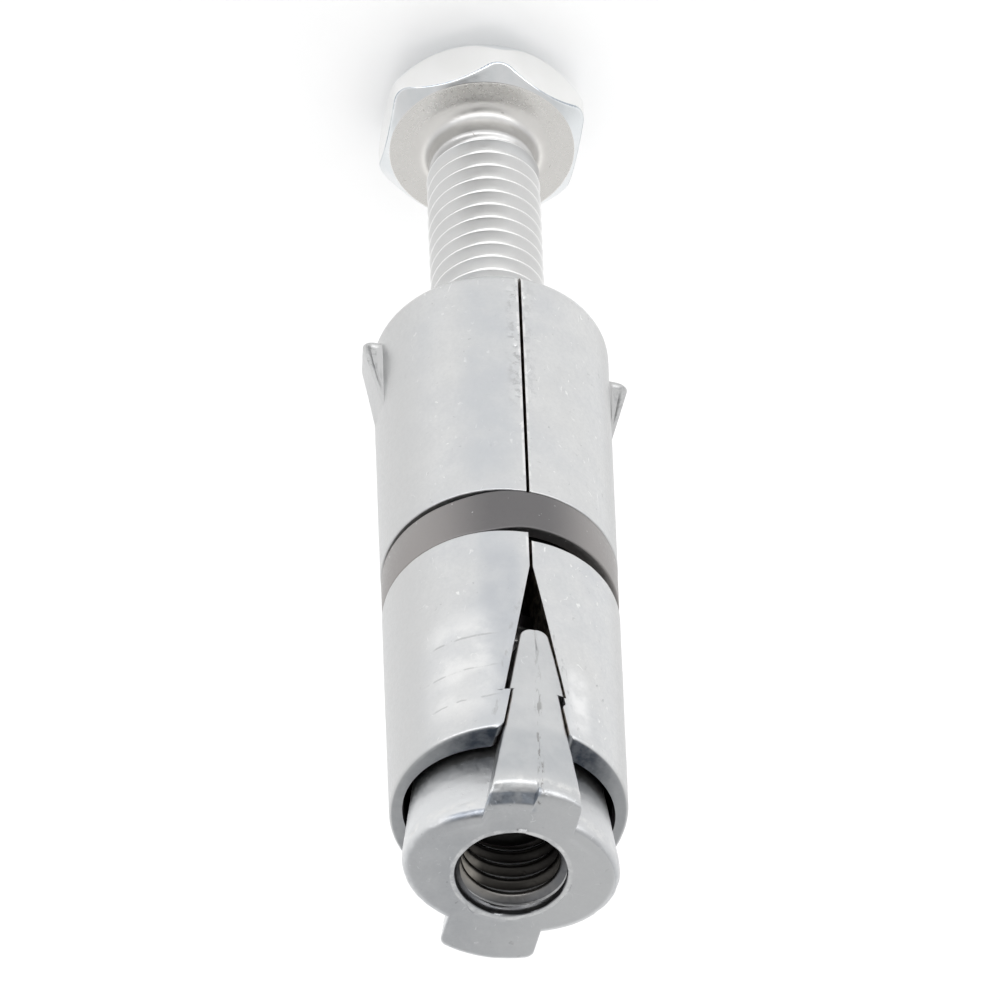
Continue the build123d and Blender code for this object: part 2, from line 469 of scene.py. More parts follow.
def head_rows(angles):
    """Rows of the neck and the head, from the thread's end to the middle of the crown."""
    height = HEAD_UNDER - HEAD_TOP
    bevel = CROWN_REACH - BEARING_RADIUS
    hexagon = hexagon_reach(angles)
    inner = NECK_RADIUS + NECK_FILLET
    rows = [
        (NECK_RADIUS, NECK_END - 0.04),
        (NECK_RADIUS, (NECK_END + HEAD_UNDER + NECK_FILLET) / 2),
    ]
    for turn in np.linspace(math.pi / 2, 0, 12):
        dish = NECK_RADIUS + NECK_FILLET * (1 - math.sin(turn))
        rows.append((dish, HEAD_UNDER + NECK_FILLET * (1 - math.cos(turn))))
    for share in (0.3, 0.6, 0.85, 0.95):
        rows.append((inner + (BEARING_RADIUS - inner) * share, HEAD_UNDER))
    levels = np.concatenate([
        height - bevel * np.linspace(0, 1, 20),
        np.linspace(height - bevel, CROWN_HEIGHT, 10)[1:],
        np.linspace(CROWN_HEIGHT, 0, 40)[1:],
    ])
    for level in levels:
        rows.append((soft_min(hexagon, head_envelope(level), HEAD_EDGE), HEAD_TOP + level))
    for share in (0.8, 0.5, 0.2, 0.0):
        rows.append((CROWN_FLAT * share, HEAD_TOP))
    return rows


def make_bolt(material):
    """The bolt: a helical thread with a chamfered tip, a neck, and a head with a domed crown."""
    shape = Shape()
    columns = THREAD_COLUMNS
    angles = np.arange(columns) / columns * math.tau
    depth = thread_grid(angles, NECK_END, BOLT_END)
    radius = THREAD_ROOT + (THREAD_CREST - THREAD_ROOT) * thread_level(depth, angles[None, :])
    radius = NECK_RADIUS + (radius - NECK_RADIUS) * smooth(depth, NECK_END, THREAD_FULL)
    radius = np.minimum(radius, BOLT_TIP + BOLT_END - depth)
    thread = shape.add(around(radius, angles, depth))
    shape.faces += helix_faces(thread)
    shape.wrap([around(BOLT_TIP * share, angles, BOLT_END) for share in (1.0, 0.6, 0.2, 0.0)])

    fine_angles = np.arange(2 * columns) / (2 * columns) * math.tau
    rows = head_rows(fine_angles)
    head = shape.wrap([around(reach, fine_angles, level) for reach, level in rows])
    for k in range(columns):
        after = (k + 1) % columns
        fine = [head[0, 2 * k], head[0, 2 * k + 1], head[0, 2 * after]]
        shape.faces.append(fine + [thread[0, after], thread[0, k]])
    bolt = shape.build("bolt", material, sharp=50.0)
    where = np.array([vertex.co for vertex in bolt.data.vertices]) / MM
    outline = hexagon_reach(np.arctan2(where[:, 1], where[:, 0]))
    envelope = head_envelope(np.clip(where[:, 2], 0, HEAD_UNDER - HEAD_TOP))
    crown = smooth(outline - envelope, -0.03, 0.05)
    bolt.data.attributes.new("crown", "FLOAT", "POINT").data.foreach_set("value", crown)
    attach(bolt, "bolt")
    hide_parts("hex_bolt")


# Shell halves


def slot_half(depth, below_tooth, side):
    """Half the width of the gap between the halves at a depth."""
    above = SEAM_HALF + SLOT_SLOPE * np.maximum(depth - SLOT_APEX, 0)
    below = LUG_NECK[side] + SLOT_SLOPE * (depth - LUG_SHOULDER) + TOOTH_GAP[side]
    below = below + NOTCH_WIDTH[side] * (1 - smooth(depth, NOTCH_END - 0.3, NOTCH_END))
    below = below + round_off(SHELL_END - depth, SLOT_CORNER)
    return np.where(below_tooth, below, above)


def seat(depth):
    """Half width and half height of the hollow in the shell at a depth."""
    entry = np.clip((depth - SEAT_ENTRY) / (SEAT_START - SEAT_ENTRY), 0, 1)
    run = np.clip((depth - SEAT_START) / (SHELL_END - SEAT_START), 0, 1)
    return [
        SHELL_BORE + (near - SHELL_BORE) * entry + (far - near) * run
        for near, far in zip(SEAT_NEAR, SEAT_FAR)
    ]


def shell_rows(side):
    """Depth, outer radius and side of the tooth for each row of a shell half."""
    lip = GROOVE_LIP[side]
    tooth = TOOTH_DEPTH[side]
    rows = []
    for turn in np.linspace(0, math.pi / 2, 10)[:-1]:
        reach = SHELL_RADIUS - MOUTH_ROUNDING * (1 - math.sin(turn))
        rows.append((MOUTH_ROUNDING * (1 - math.cos(turn)), reach, False))
    even = np.linspace(MOUTH_ROUNDING, GROOVE_START - LIP_ROUNDING, 112)[:-1]
    fin_start = FIN_START + np.array([-0.004, 0.004, 0.03, 0.07, 0.12, 0.18, 0.25, 0.33, 0.42])
    for depth in np.unique(np.concatenate([even, fin_start])):
        rows.append((depth, SHELL_RADIUS, False))
    for turn in np.linspace(0, math.pi / 2, 5):
        reach = SHELL_RADIUS - LIP_ROUNDING * (1 - math.cos(turn))
        rows.append((GROOVE_START - LIP_ROUNDING * (1 - math.sin(turn)), reach, False))
    for depth in np.linspace(GROOVE_START, lip, 6):
        rows.append((depth, GROOVE_RADIUS, False))
    for turn in np.linspace(0, math.pi / 2, 5):
        reach = SHELL_RADIUS - LIP_ROUNDING * (1 - math.sin(turn))
        rows.append((lip + LIP_ROUNDING * (1 - math.cos(turn)), reach, False))
    for depth in np.linspace(lip + LIP_ROUNDING, tooth, 84)[1:]:
        rows.append((depth, SHELL_RADIUS, False))
    for depth in np.linspace(tooth, SHELL_END - END_ROUNDING, 20)[:-1]:
        rows.append((depth, SHELL_RADIUS, True))
    for turn in np.linspace(0, math.pi / 2, 6):
        reach = SHELL_RADIUS - END_ROUNDING * (1 - math.cos(turn))
        rows.append((SHELL_END - END_ROUNDING * (1 - math.sin(turn)), reach, True))
    return rows


def fin_reach(depth):
    """How far the fin stands from the axis at a depth."""
    corner = round_off(np.maximum(depth - FIN_START, 0), FIN_CORNER)
    taper = np.clip((depth - FIN_FULL) / (FIN_END - FIN_FULL), 0, 1)
    reach = FIN_TOP - corner - (FIN_TOP - SHELL_RADIUS) * taper
    return np.where((depth > FIN_START) & (depth < FIN_END), reach, 0)


def fin_columns(depth, radius):
    """Points from the middle of the fin's back down its flank to the barrel, in each row."""
    back = np.array([0.0, 0.2, 0.4, 0.6, 0.74, 0.82, 0.87, 0.895])[None, :]
    top = fin_reach(depth) - round_off(FIN_HALF - back, FIN_EDGE)
    back_x = np.maximum(np.sqrt(radius ** 2 - back ** 2), top)
    flank_low = np.sqrt(radius ** 2 - FIN_HALF ** 2)
    flank_top = np.maximum(flank_low, fin_reach(depth) - FIN_EDGE)
    share = np.array([0.9, 0.8, 0.68, 0.55, 0.42, 0.3, 0.2, 0.1, 0.04])[None, :]
    flank_x = flank_low + (flank_top - flank_low) * share
    hollow = smooth(share, 0.05, 0.3) * (1 - smooth(share, 0.66, 0.86))
    hollow = hollow * smooth(depth, FIN_START + 0.1, FIN_START + 0.35)
    hollow = hollow * (1 - smooth(depth, 3.6, 4.9))
    flank_y = FIN_HALF + 0.02 * (1 - share) - FIN_HOLLOW * hollow
    foot = np.array(FIN_FOOT)[None, :]
    x = np.concatenate([back_x, flank_x, np.sqrt(radius ** 2 - foot ** 2)], axis=1)
    y = np.concatenate([back + 0 * depth, flank_y, foot + 0 * depth], axis=1)
    return x, y


def shell_end(number, count, columns):
    """Faces that close one end of a half, between its outer and its inner line."""
    faces = []
    near = list(range(count))
    far = [0] + list(range(2 * count - 3, count - 1, -1)) + [count - 1]
    for pick in (near, far):
        for k in range(columns - 1):
            ends = (pick[k], pick[k + 1], pick[count - 2 - k], pick[count - 1 - k])
            faces.append([number[k] for k in ends])
        faces.append([number[k] for k in pick[columns - 1:count - columns + 1]])
    return faces


def make_shell(name, side, material):
    """One half of the shell: closed loops over the fin, the barrel, the wall and the hollow."""
    shape = Shape()
    rows = shell_rows(side)
    depth = np.array([row[0] for row in rows])[:, None]
    radius = np.array([row[1] for row in rows])[:, None]
    below = np.array([row[2] for row in rows])[:, None]
    half = slot_half(depth, below, side)
    wide, high = seat(depth)

    fin_x, fin_y = fin_columns(depth, radius)
    turn_start = np.arcsin(FIN_CLEAR / radius)
    turn_end = np.arccos((half + SLOT_EDGE) / radius)
    share = np.concatenate([np.linspace(0, 0.86, 35)[:-1], np.linspace(0.86, 1, 17)])[None, :]
    turn = turn_start + (turn_end - turn_start) * share
    outer_x = np.concatenate([fin_x, radius * np.cos(turn)], axis=1)
    outer_y = np.concatenate([fin_y, radius * np.sin(turn)], axis=1)

    corner = np.sqrt(radius ** 2 - half ** 2)
    inner_seam = high * np.sqrt(1 - (half / wide) ** 2)
    wall_share = np.linspace(0, 1, 6)[None, :-1]
    wall_x = np.concatenate([half + EDGE_MIDDLE * SLOT_EDGE, half + 0 * wall_share], axis=1)
    wall_top = corner - SLOT_EDGE
    wall_y = wall_top + (inner_seam - wall_top) * wall_share
    wall_y = np.concatenate([corner - EDGE_MIDDLE * SLOT_EDGE, wall_y], axis=1)
    columns = outer_x.shape[1]
    inner_turn = np.arccos(half / wide) * np.linspace(1, 0, columns)[None, :]
    loop_x = np.concatenate([outer_x, wall_x, wide * np.cos(inner_turn)], axis=1)
    loop_y = np.concatenate([outer_y, wall_y, high * np.sin(inner_turn)], axis=1)
    count = loop_x.shape[1]
    loop_x = np.concatenate([loop_x, loop_x[:, -2:0:-1]], axis=1)
    loop_y = np.concatenate([loop_y, -loop_y[:, -2:0:-1]], axis=1)
    stand = np.clip((loop_x - SHELL_RADIUS) / (FIN_TOP - SHELL_RADIUS), 0, 1)
    loop_x = loop_x - FIN_SLANT * stand * np.clip(0.5 - loop_y / (2 * FIN_HALF), 0, 1)
    points = np.stack([side * loop_x, loop_y, depth + 0 * loop_x], axis=-1)

    outer = np.zeros(points.shape[:2], dtype=bool)
    outer[:, :columns] = True
    outer[:, 2 * count - 1 - columns:] = True
    points[outer] = weather_shell(points[outer], side)
    index = shape.wrap(place(*np.moveaxis(points, -1, 0)))
    for row in (0, -1):
        shape.faces += shell_end(index[row], count, columns)
    return shape.build(name, material)


def weather_shell(points, side):
    """Draws the cast skin in and out: shallow waves, pits and flash along the seam, and marks."""
    across, along, depth = points.T
    reach = np.hypot(across, along)
    seam = np.abs(across) - slot_half(depth, depth > TOOTH_DEPTH[side], side)
    waves = 0.012 * rough(points, 0.35, 3 + side) + 0.006 * rough(points, 1.3, 7 + side)
    inward = SKIN_DEPTH - waves

    width = PIT_WIDTH[side]
    zone = smooth(seam, 0.06, 0.16) * (1 - smooth(seam, 0.55 * width, width))
    zone = zone * smooth(depth, 0.3, 1.2) * (1 - smooth(depth, 8.0, 12.0) * 0.8)
    coarse, fine = rough(points, 1.7, 11 + side), rough(points, 4.0, 13 + side)
    inward += PIT_DEPTH * zone * np.clip(coarse + 0.5 * fine - 0.10, 0, 0.5)

    flash = (1 - smooth(seam, 0.05, 0.14)) * (0.6 + 0.8 * rough(points, 0.8, 17 + side))
    inward -= SKIN_DEPTH * np.clip(flash, 0, 0.9)

    if side < 0:
        window = smooth(across, -5.4, -4.6) * (1 - smooth(across, -2.6, -1.7))
        for line in STEP_LINES:
            shift = depth - line - 0.12 * rough(points, 0.5, 19 + int(line))
            rise = STEP_RISE * smooth(shift, -0.9, -0.05) * (shift < 0)
            inward += window * (STEP_GROOVE * np.exp(-(shift / 0.1) ** 2) + rise)
    edge_marks = np.clip(rough(points, 1.6, 23 + side) - 0.18, 0, 0.4)
    edge_marks = edge_marks * (1 - smooth(seam, 0.1, 0.5))
    inward += EDGE_MARK_DEPTH * edge_marks * smooth(depth, SLOT_APEX + 1.0, SLOT_APEX + 3.0)

    inward = np.maximum(inward, 0) * smooth(reach, GROOVE_RADIUS + 0.3, SHELL_RADIUS - 0.2)
    return drawn_in(points, inward)


# Ring


def make_ring(name, side, material):
    """Half of the flat ring, which lies askew: up against the lip on the right only."""
    shape = Shape()
    outer = RING_RADIUS - RING_EDGE
    inner = RING_RADIUS - RING_THICKNESS + RING_EDGE
    top = RING_START + RING_EDGE
    low = RING_END - RING_EDGE
    section = []
    corners = ((outer, top, 90), (outer, low, 0), (inner, low, -90), (inner, top, -180))
    for radius, level, start in corners:
        for turn in np.radians(np.linspace(start, start - 90, 5)):
            out, up = RING_EDGE * math.cos(turn), RING_EDGE * math.sin(turn)
            section.append((radius + out, level - up))
    radius, level = np.array(section).T[:, :, None]
    angles = np.linspace(math.pi / 2, -math.pi / 2, 97)[None, :]
    across = side * radius * np.cos(angles)
    along = radius * np.sin(angles)
    upper = RING_UPPER_DROP * smooth(-across, 0.6, 4.2)
    lower = RING_LOWER_DROP * smooth(-across, -0.2, 2.6)
    share = (level - RING_START) / (RING_END - RING_START)
    depth = level - RING_LIFT + upper + (lower - upper) * share
    index = shape.add(place(across, along, depth))
    shape.faces += grid_faces(np.concatenate([index, index[:1]], axis=0))
    for column in (0, -1):
        shape.faces.append(index[:, column].tolist())
    ring = shape.build(name, material, sharp=50.0)
    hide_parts("retaining_ring")
    middle = (RING_START + RING_END) / 2
    start, end = place(0.0, 0.0, middle), place(side * RING_RADIUS, 0.0, middle)
    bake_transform(ring)


# Cone nut


def lug_half(depth, below_shoulder, side):
    """Half the width of a lug at a depth, on one side of its middle."""
    slot = SEAM_HALF + SLOT_SLOPE * (depth - SLOT_APEX)
    gap = LUG_GAP[side] + LUG_RELIEF[side] * np.maximum(LUG_RELIEF_END - depth, 0)
    above = slot - gap - round_off(depth - LUG_START, LUG_END_RADIUS)
    below = LUG_NECK[side] + SLOT_SLOPE * (depth - LUG_SHOULDER)
    return np.where(below_shoulder, below, above)


def lug_reach(depth, side, far):
    """How far a lug reaches from the axis. The near one's left side ends in a bevel."""
    ahead = NUT_FACE - depth
    if far:
        return np.interp(depth, *np.transpose(FAR_REACH)) - round_off(ahead, FAR_FRONT)
    reach = np.interp(depth, *np.transpose(LUG_REACH))
    if side > 0:
        return reach - round_off(ahead, LUG_FRONT[side])
    rounded = np.clip((LUG_FRONT[side] - ahead) / (LUG_FRONT[side] - LUG_BEVEL), 0, 1) ** 2
    start_drop = LUG_BEVEL_SLOPE * (LUG_FRONT[side] - LUG_BEVEL) / 2
    bevel = LUG_BEVEL_SLOPE * np.clip(LUG_BEVEL - ahead, 0, None)
    return reach - start_drop * rounded - bevel - round_off(ahead, LUG_BEVEL_EDGE)


def nut_quarter(depth, below, side, far):
    """A quarter of the nut's outline in each row, from a lug's middle to the end of the oval."""
    run = np.clip((depth - LUG_START) / (NUT_FACE - NUT_LAND - LUG_START), 0, 1)
    draw = round_off(NUT_FACE - depth, NUT_EDGE)
    wide = NUT_SMALL[0] + (NUT_LARGE[0] - NUT_SMALL[0]) * run - draw
    high = NUT_SMALL[1] + (NUT_LARGE[1] - NUT_SMALL[1]) * run - draw
    half = lug_half(depth, below, side) - round_off(NUT_FACE - depth, FLANK_EDGE)
    reach = lug_reach(depth, side, far)
    edge = np.minimum(FAR_EDGE if far else LUG_EDGE, 0.4 * half)
    top_shares = np.array([0.0, 0.04, 0.08, 0.13, 0.19, 0.27, 0.4, 0.6, 0.8, 1.0])[None, :]
    edge_rows = np.array(EDGE_ROWS)[None, :]
    across = np.concatenate([(half - edge) * top_shares, half - edge * edge_rows[:, ::-1]], axis=1)
    drop = np.concatenate([0 * edge * top_shares, edge * edge_rows], axis=1)
    top_y = np.sqrt(reach ** 2 - across ** 2) - drop
    flank_top = np.sqrt(reach ** 2 - half ** 2) - edge
    flank_low = high * np.sqrt(1 - (half / wide) ** 2)
    share = np.linspace(0, 1, 7)[None, :-1]
    flank_y = flank_top + (flank_low - flank_top) * share
    flank_x = half + 0 * share
    turn = np.arccos(half / wide) * np.linspace(1, 0, 26)[None, :]
    outline_x = np.concatenate([across, flank_x, wide * np.cos(turn)], axis=1)
    outline_y = np.concatenate([top_y, flank_y, high * np.sin(turn)], axis=1)
    return side * outline_x, -outline_y if far else outline_y


def weather_nut(points):
    """A parting scar along the near lug, a small step at it, and a softly uneven skin."""
    across, along, depth = points.T
    on_lug = smooth(along, *NEAR_LUG)
    level = np.stack([0 * depth, np.sign(along), depth], axis=1)
    middle = 0.12 + 0.16 * rough(level, 0.5, 31)
    strength = np.clip(0.35 + 2.2 * rough(level, 0.9, 37), 0, 1)
    scar = np.exp(-((across - middle) / SCAR_WIDTH) ** 2) * strength
    step = 1 - smooth(across, middle - 0.05, middle + 0.05)
    inward = on_lug * (SCAR_DEPTH * scar + 0.02 * step)
    inward += 0.02 + 0.014 * rough(points, 0.6, 41) + 0.01 * rough(points, 2.2, 43)
    front = smooth(depth, NUT_FACE - 1.6, NUT_FACE - 0.7)
    front = front * (1 - smooth(depth, NUT_FACE - 0.4, NUT_FACE - 0.1))
    inward += FRONT_MARK_DEPTH * front * np.clip(rough(points, 2.4, 47) - 0.10, 0, 0.5)
    return drawn_in(points, inward)


def nut_rows():
    """Depth of each row of the nut's sides, and whether it lies below the lug's shoulder."""
    end_turn = np.linspace(0, math.pi / 2, 8)
    front_turn = np.linspace(0, math.pi / 2, 18)[1:]
    front = LUG_FRONT[-1]
    above = np.concatenate([
        LUG_START + LUG_END_RADIUS * (1 - np.cos(end_turn)),
        np.linspace(LUG_START + LUG_END_RADIUS, LUG_SHOULDER, 34)[1:],
    ])
    below = np.concatenate([
        np.linspace(LUG_SHOULDER, NUT_FACE - front, 52),
        NUT_FACE - front * (1 - np.sin(front_turn)),
    ])
    is_below = np.arange(len(above) + len(below)) >= len(above)
    return np.concatenate([above, below])[:, None], is_below[:, None]


def make_nut(material):
    """The cone nut: an oval cone with two lugs, a face with a torn rim and a tapped bore."""
    shape = Shape()
    depth, below = nut_rows()
    quarters = [
        [line[:, order] for line in nut_quarter(depth, below, side, far)]
        for side, far, order in (
            (1, False, slice(None)), (1, True, slice(-2, None, -1)),
            (-1, True, slice(1, None)), (-1, False, slice(-2, 0, -1)),
        )
    ]
    loop_x, loop_y = (np.concatenate(lines, axis=1) for lines in zip(*quarters))
    points = np.stack([loop_x, loop_y, depth + 0 * loop_x], axis=-1)[:, ::-1]
    points = weather_nut(points.reshape(-1, 3)).reshape(points.shape)
    shape.wrap(place(*np.moveaxis(points, -1, 0)))

    edge_x, edge_y = points[-1, :, 0], points[-1, :, 1]
    angles = np.unwrap(np.arctan2(edge_y, edge_x))
    cosine, sine = np.cos(angles), np.sin(angles)
    circle = NUT_RIM * np.stack([cosine, sine, 0 * angles], axis=1)
    rim = NUT_RIM + 0.05 * rough(circle, 1.1, 53)
    burr = np.clip(0.03 + 0.12 * rough(circle, 1.4, 59) + 0.02 * (sine < 0), 0, FACE_DROP)
    face = []
    for share, drop in FACE_ROWS:
        level = NUT_FACE - (FACE_DROP - burr if drop is None else drop)
        x = edge_x + (rim * cosine - edge_x) * share
        y = edge_y + (rim * sine - edge_y) * share
        face.append(place(x, y, level))
    shape.wrap(face)

    thread_depth = thread_grid(angles, LUG_START, NUT_FACE - RIM_DROP)
    bore = NUT_MINOR + (NUT_MAJOR - NUT_MINOR) * thread_level(thread_depth, angles[None, :])
    below_rim = NUT_FACE - RIM_DROP - thread_depth
    lead = NUT_LEAD - (NUT_LEAD - NUT_MINOR) * smooth(below_rim, 0.3, 0.9)
    bore = np.maximum(np.maximum(bore, lead), rim - 2 * below_rim)
    shape.faces += helix_faces(shape.add(around(bore, angles, thread_depth)))

    start_bore = NUT_MINOR + (NUT_MAJOR - NUT_MINOR) * thread_level(LUG_START, angles)
    back = []
    for share in (0.0, 0.5, 1.0):
        x = points[0, :, 0] + (start_bore * cosine - points[0, :, 0]) * (1 - share)
        y = points[0, :, 1] + (start_bore * sine - points[0, :, 1]) * (1 - share)
        back.append(place(x, y, LUG_START))
    shape.wrap(back)
    nut = shape.build("cone_nut_casting", material)
    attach(nut, "nut")
    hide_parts("cone_nut")


# Materials


def tint(colour, factor):
    """A lighter or darker version of a colour."""
    return tuple(min(1.0, level * factor) for level in colour)


def add_node(tree, kind, inputs, **settings):
    """A new node with its settings, and with its inputs linked or set to plain values."""
    node = tree.nodes.new("ShaderNode" + kind)
    for name, value in settings.items():
        setattr(node, name, value)
    for name, value in inputs.items():
        if isinstance(value, bpy.types.NodeSocket):
            tree.links.new(value, node.inputs[name])
        else:
            node.inputs[name].default_value = value
    return node


def soft_turn(tree, source, low, high, to_low, to_high):
    """A soft turn from to_low to to_high as a value goes from low to high."""
    inputs = {
        "Value": source, "From Min": low, "From Max": high, "To Min": to_low, "To Max": to_high,
    }
    return add_node(tree, "MapRange", inputs, interpolation_type="SMOOTHSTEP").outputs["Result"]


class Nodes:
    """Short ways to add the nodes of one material. Lengths are in millimetres."""

    def __init__(self, name, tints):
        self.material = bpy.data.materials.new(name)
        self.material.use_nodes = True
        self.tree = self.material.node_tree
        self.shader = self.tree.nodes["Principled BSDF"]
        self.shader.inputs["Metallic"].default_value = 1.0
        self.tints = tints
        object_point = self.node("TexCoord", {}).outputs["Object"]
        self.where = self.mapped(object_point, (1 / MM, 1 / MM, 1 / MM))
        self.across, self.along, height = self.node("SeparateXYZ", {0: self.where}).outputs
        self.depth = self.math("SUBTRACT", height, MOUTH)
        squares = [self.math("POWER", value, 2.0) for value in (self.across, self.along)]
        self.radius = self.math("SQRT", self.math("ADD", *squares), 0.0)
        self.colour = None

    def node(self, kind, inputs, **settings):
        return add_node(self.tree, kind, inputs, **settings)

    def mapped(self, vector, factors, turn=(0.0, 0.0, 0.0)):
        """A vector stretched by three factors and turned."""
        inputs = {"Vector": vector, "Scale": factors, "Rotation": turn}
        return self.node("Mapping", inputs).outputs["Vector"]

    def cloud(self, scale, detail=4.0, roughness=0.55, distortion=0.0, vector=None):
        """Random values between 0 and 1, about a half for the most part."""
        inputs = {"Vector": vector or self.where, "Scale": scale, "Detail": detail}
        inputs.update({"Roughness": roughness, "Distortion": distortion})
        return self.node("TexNoise", inputs).outputs["Fac"]

    def curve(self, source, low, high, to_low=0.0, to_high=1.0):
        return soft_turn(self.tree, source, low, high, to_low, to_high)

    def fall(self, source, low, high):
        """1 below low, 0 above high and a soft turn between them."""
        return self.curve(source, low, high, 1.0, 0.0)

    def patches(self, scale, detail, low, high, to_low=0.0, to_high=1.0, **cloud):
        """Random patches: a cloud whose values from low to high turn from to_low to to_high."""
        return self.curve(self.cloud(scale, detail, **cloud), low, high, to_low, to_high)

    def rgba(self, colour):
        """A colour given by its name or value, for a socket. Another node's colour stays."""
        if isinstance(colour, str):
            colour = self.tints[colour]
        return (*colour, 1.0) if isinstance(colour, tuple) else colour

    def mix(self, factor, first, second):
        """The first colour at 0 and the second at 1."""
        inputs = {0: factor, 6: self.rgba(first), 7: self.rgba(second)}
        return self.node("Mix", inputs, data_type="RGBA").outputs[2]

    def paint(self, colour, *masks):
        """Lays a colour over those so far, as far as all the masks say."""
        self.colour = self.mix(self.times(*masks), self.colour, colour)

    def math(self, kind, first, second):
        return self.node("Math", {0: first, 1: second}, operation=kind).outputs[0]

    def size(self, value):
        """A value without its sign."""
        return self.math("ABSOLUTE", value, 0.0)

    def times(self, value, *others):
        """All the values multiplied with each other."""
        for other in others:
            value = self.math("MULTIPLY", value, other)
        return value

    def between(self, source, low, high, soft):
        """1 where a value lies between two others, with soft ends."""
        return self.times(
            self.curve(source, low, low + soft), self.fall(source, high - soft, high),
        )

    def window(self, across, down):
        """1 inside a stretch across the seam and a stretch down the shell."""
        return self.times(self.between(self.across, *across), self.between(self.depth, *down))

    def hairlines(self, scale, width, seldom, vector=None):
        """Thin broken lines, as scratches draw them."""
        middle = self.math("SUBTRACT", self.cloud(scale, detail=1.5, vector=vector), 0.5)
        line = self.fall(self.size(middle), 0.3 * width, width)
        return self.times(line, self.patches(scale * 1.7, 2.0, seldom, seldom + 0.06))

    def bump(self, height, strength, distance, before=None):
        """Small relief on top of the relief before it."""
        inputs = {"Height": height, "Strength": strength, "Distance": distance * MM}
        if before:
            inputs["Normal"] = before
        return self.node("Bump", inputs).outputs["Normal"]

    def surface(self, roughness, normal):
        """Gives the shader its roughness and relief."""
        self.tree.links.new(roughness, self.shader.inputs["Roughness"])
        self.tree.links.new(normal, self.shader.inputs["Normal"])

    def painted(self):
        """The material, with the colours laid so far."""
        self.tree.links.new(self.colour, self.shader.inputs["Base Color"])
        return self.material


def cast_skin(n, roughness):
    """Die-cast zinc: cloudy bluish blotches, fine grain, pits, pale specks, short scratches."""
    light, dark = n.tints["light"], n.tints["dark"]
    pale = tint(light, 1.28)
    n.colour = n.mix(n.patches(0.16, 2.0, 0.30, 0.70), dark, light)
    n.paint(tint(light, 1.08), n.patches(0.8, 6.0, 0.32, 0.72, 0.0, 0.6, roughness=0.65))
    grain = n.cloud(5.0, detail=6.0, roughness=0.65)
    n.paint(tint(dark, 0.9), n.curve(grain, 0.25, 0.75, 0.0, 0.25))
    n.paint(pale, n.patches(1.7, 3.5, 0.675, 0.75, 0.0, 0.5))
    slanted = n.mapped(n.where, (1.0, 1.0, 0.35), (0.5, 0.3, 0.0))
    scratch = n.hairlines(1.1, 0.015, 0.59, slanted)
    n.paint(pale, scratch, n.curve(grain, 0.3, 0.6))
    pits = n.patches(2.9, 3.0, 0.68, 0.73, distortion=0.6)
    n.paint(tint(dark, 0.6), pits, n.curve(grain, 0.0, 1.0, 0.3, 0.7))
    fine = n.bump(grain, 0.22, 0.03)
    dents = n.bump(n.math("SUBTRACT", 1.0, pits), 0.35, 0.05, fine)
    normal = n.bump(scratch, 0.25, 0.03, dents)
    n.surface(n.curve(grain, 0.3, 0.7, roughness - 0.05, roughness + 0.07), normal)


def paint_shell_shade(n, seam):
    """Painted shade on the shell: darker zones across the seam, and darker sides of the barrel."""
    # Painted shade across the seam, in patches.
    cool_shade = n.between(n.across, *COOL_SHADE_ACROSS)
    n.paint("cool_shade", cool_shade, n.patches(0.3, 3.0, 0.35, 0.6, 0.3, 0.8))
    # Painted shade towards the barrel's sides, more on the right.
    n.paint("side", n.curve(seam, 4.0, 5.8, 0.0, 0.9))
    n.paint("right side shade", n.curve(n.across, 4.4, 5.9, 0.0, 0.85))
    # Painted shade, bluish, left of the slot.
    n.paint("blue_shade", n.window(BLUE_SHADE_ACROSS, BLUE_SHADE_DOWN), n.patches(0.5, 4.0, 0.35, 0.6, 0.4, 0.9))


def paint_seam(n, seam):
    """A pitted strip beside the seam and a pale flash along it."""
    left = n.curve(n.across, -0.06, 0.06, 0.75, 0.35)
    on_skin = n.times(n.between(n.depth, *PITTED_DOWN), n.curve(n.radius, 5.5, 5.7))
    beside = n.times(n.curve(seam, 0.07, 0.15), n.fall(seam, 0.35, 0.95), left, on_skin)
    n.paint("pitted", beside, n.patches(2.1, 5.0, 0.50, 0.60, roughness=0.7))
    n.paint(
        "flash", n.fall(seam, 0.16, 0.26), n.patches(1.3, 4.0, 0.42, 0.58, 0.0, 0.8),
        n.fall(n.depth, SLOT_APEX - 2.0, SLOT_APEX),
    )


def paint_pale_patches(n):
    """Paler patches of skin on both sides of the slot, and the step lines on the left half."""
    blotches = n.patches(0.45, 5.0, 0.38, 0.62, 0.25, 0.85, roughness=0.6)
    # Paler patches of skin left of the slot.
    n.paint("pale_left", n.window(PALE_LEFT_ACROSS, PALE_LEFT_DOWN), blotches)
    # Paler patches of skin right of the slot.
    pale_right = n.window(PALE_RIGHT_ACROSS, PALE_RIGHT_DOWN)
    n.paint("pale_right", pale_right, n.patches(0.7, 4.0, 0.35, 0.6, 0.2, 0.9))
    broken = n.times(n.patches(1.0, 5.0, 0.44, 0.54), n.between(n.across, *LINES_ACROSS))
    wander = n.times(n.math("SUBTRACT", n.cloud(0.5, detail=3.0), 0.5), 0.5)
    for line in STEP_LINES:
        away = n.size(n.math("SUBTRACT", n.math("ADD", n.depth, wander), line))
        n.paint("line", broken, n.curve(away, 0.02, 0.10, 0.5, 0.0))


def paint_flanks(n, seam):
    """Dark rough patches on the fins' flanks."""
    n.paint(
        "flank", n.between(seam, SHELL_RADIUS + 0.12, FIN_TOP - 0.2, 0.1),
        n.between(n.depth, *FLANK_DOWN),
        n.curve(n.size(n.along), FIN_HALF - 0.16, FIN_HALF - 0.1),
        n.patches(2.8, 4.0, 0.46, 0.58, 0.0, 0.8, roughness=0.7),
    )


